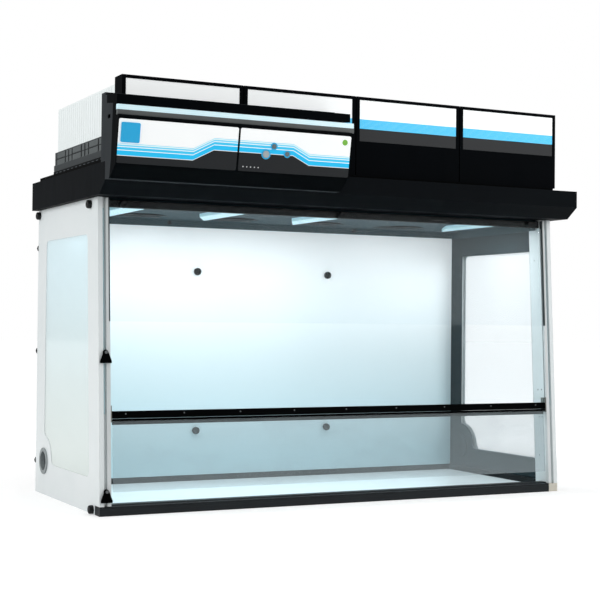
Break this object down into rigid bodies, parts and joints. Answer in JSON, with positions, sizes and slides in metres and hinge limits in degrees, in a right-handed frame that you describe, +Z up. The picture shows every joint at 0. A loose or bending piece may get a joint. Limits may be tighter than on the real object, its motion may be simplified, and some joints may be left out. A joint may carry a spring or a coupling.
{
  "type": "ductless_fume_hood",
  "caption": "Free-standing recirculating fume hood: leaning glazed enclosure with hinged lower flap, dark canopy with filter columns and a sloping control unit.",
  "frame": {"origin": "middle of the footprint of the side panels, on the bench plane", "axes": "+X to the right seen from the front, +Y from front to back, +Z up"},
  "size_m": [1.844, 0.9443, 1.411],
  "materials": {
    "dark_steel": "satin",
    "white_top": "gloss",
    "black_steel": "satin",
    "beige_plastic": "matte",
    "white_steel": "satin",
    "dark_liner": "matte",
    "clear_pane": "gloss",
    "hazy_pane": "satin",
    "grey_plastic": "matte",
    "black_rubber": "matte",
    "white_back": "satin",
    "black_plastic": "satin",
    "rail_grey": "satin",
    "screw_steel": "satin",
    "bracket_steel": "satin",
    "lit_lamp": "gloss",
    "cassette_grey": "matte",
    "filter_white": "matte",
    "black_gloss": "gloss",
    "fascia_print": "gloss",
    "shell_grey": "matte",
    "lit_strip": "gloss",
    "strip_grey": "matte",
    "plate_print": "gloss",
    "badge_cyan": "gloss",
    "button_white": "gloss",
    "button_grey": "matte",
    "lamp_green": "gloss",
    "board_green": "matte"
  },
  "bodies": {
    "hood": {"base_tray": "dark_steel", "worktop": "white_top", "front_sill": "black_steel", "sill_end_block": "beige_plastic", "side_panel_left": "white_steel", "side_panel_right": "white_steel", "side_liner_left": "dark_liner", "side_liner_right": "dark_liner", "side_window_left": "clear_pane", "side_window_right": "clear_pane", "port_rings": "grey_plastic", "port_grommets": "black_rubber", "back_panel": "white_back", "wall_knobs": "black_plastic", "side_knobs": "black_plastic", "rear_knobs": "black_plastic", "visor_rail": "rail_grey", "visor_pane": "clear_pane", "visor_knobs": "black_plastic", "pane_retainers": "white_steel", "sash_pane": "clear_pane", "sash_bar": "black_plastic", "front_screws": "screw_steel", "bar_brackets": "bracket_steel", "catch_studs": "screw_steel", "canopy": "black_steel", "ceiling_frame": "rail_grey", "ceiling_sheet": "rail_grey", "skirt_knobs": "black_plastic", "light_panels": "lit_lamp", "filter_deck": "black_steel", "fan_motors": "screw_steel", "fan_guards": "screw_steel", "column_bases": "black_steel", "filter_cassettes": "cassette_grey", "carbon_filters": "filter_white", "fascia_frames": "black_gloss", "fascia_panels": "fascia_print", "control_shell": "shell_grey", "control_front": "black_plastic", "control_top_bar": "black_plastic", "light_strip": "lit_strip", "strip_base": "strip_grey", "control_plate_left": "plate_print", "control_plate_right": "plate_print", "badge_plate": "badge_cyan", "button_bezels": "button_white", "status_lamp": "lamp_green", "control_board": "board_green"},
    "flap": {"flap_rod": "black_plastic", "flap_pane": "hazy_pane"},
    "upper_catch": {"catch_upper": "black_plastic"},
    "lower_catch": {"catch_lower": "black_plastic"},
    "power": {"power_button": "button_white"},
    "select": {"select_button": "button_grey"},
    "mute": {"mute_button": "button_grey"},
    "impeller_1": {"fan_impeller_1": "black_plastic"},
    "impeller_2": {"fan_impeller_2": "black_plastic"},
    "impeller_3": {"fan_impeller_3": "black_plastic"},
    "impeller_4": {"fan_impeller_4": "black_plastic"}
  },
  "joints": [
    {"name": "flap_swing", "type": "hinge", "parent": "hood", "child": "flap", "pos_m": [0, -0.34457, 0.30497], "axis": [-1, 0, 0], "range_deg": [0, 180]},
    {"name": "upper_catch_turn", "type": "hinge", "parent": "hood", "child": "upper_catch", "pos_m": [-0.878, -0.34316, 0.52255], "axis": [0, -0.9984, 0.057], "range_deg": [0, 90]},
    {"name": "lower_catch_turn", "type": "hinge", "parent": "hood", "child": "lower_catch", "pos_m": [-0.878, -0.36854, 0.07827], "axis": [0, -0.9984, 0.057], "range_deg": [0, 90]},
    {"name": "fan_spin_1", "type": "hinge", "parent": "hood", "child": "impeller_1", "pos_m": [-0.575, 0.2, 1.065], "axis": [0, 0, 1], "continuous": true},
    {"name": "fan_spin_2", "type": "hinge", "parent": "hood", "child": "impeller_2", "pos_m": [-0.205, 0.2, 1.065], "axis": [0, 0, 1], "continuous": true},
    {"name": "fan_spin_3", "type": "hinge", "parent": "hood", "child": "impeller_3", "pos_m": [0.165, 0.2, 1.065], "axis": [0, 0, 1], "continuous": true},
    {"name": "fan_spin_4", "type": "hinge", "parent": "hood", "child": "impeller_4", "pos_m": [0.535, 0.2, 1.065], "axis": [0, 0, 1], "continuous": true},
    {"name": "power_press", "type": "slide", "parent": "hood", "child": "power", "axis": [0, 0.986, 0.1667], "range_m": [0, 0.0015], "stiffness_N_per_m": 600},
    {"name": "select_press", "type": "slide", "parent": "hood", "child": "select", "axis": [0, 0.986, 0.1667], "range_m": [0, 0.0015], "stiffness_N_per_m": 600},
    {"name": "mute_press", "type": "slide", "parent": "hood", "child": "mute", "axis": [0, 0.986, 0.1667], "range_m": [0, 0.0015], "stiffness_N_per_m": 600}
  ]
}
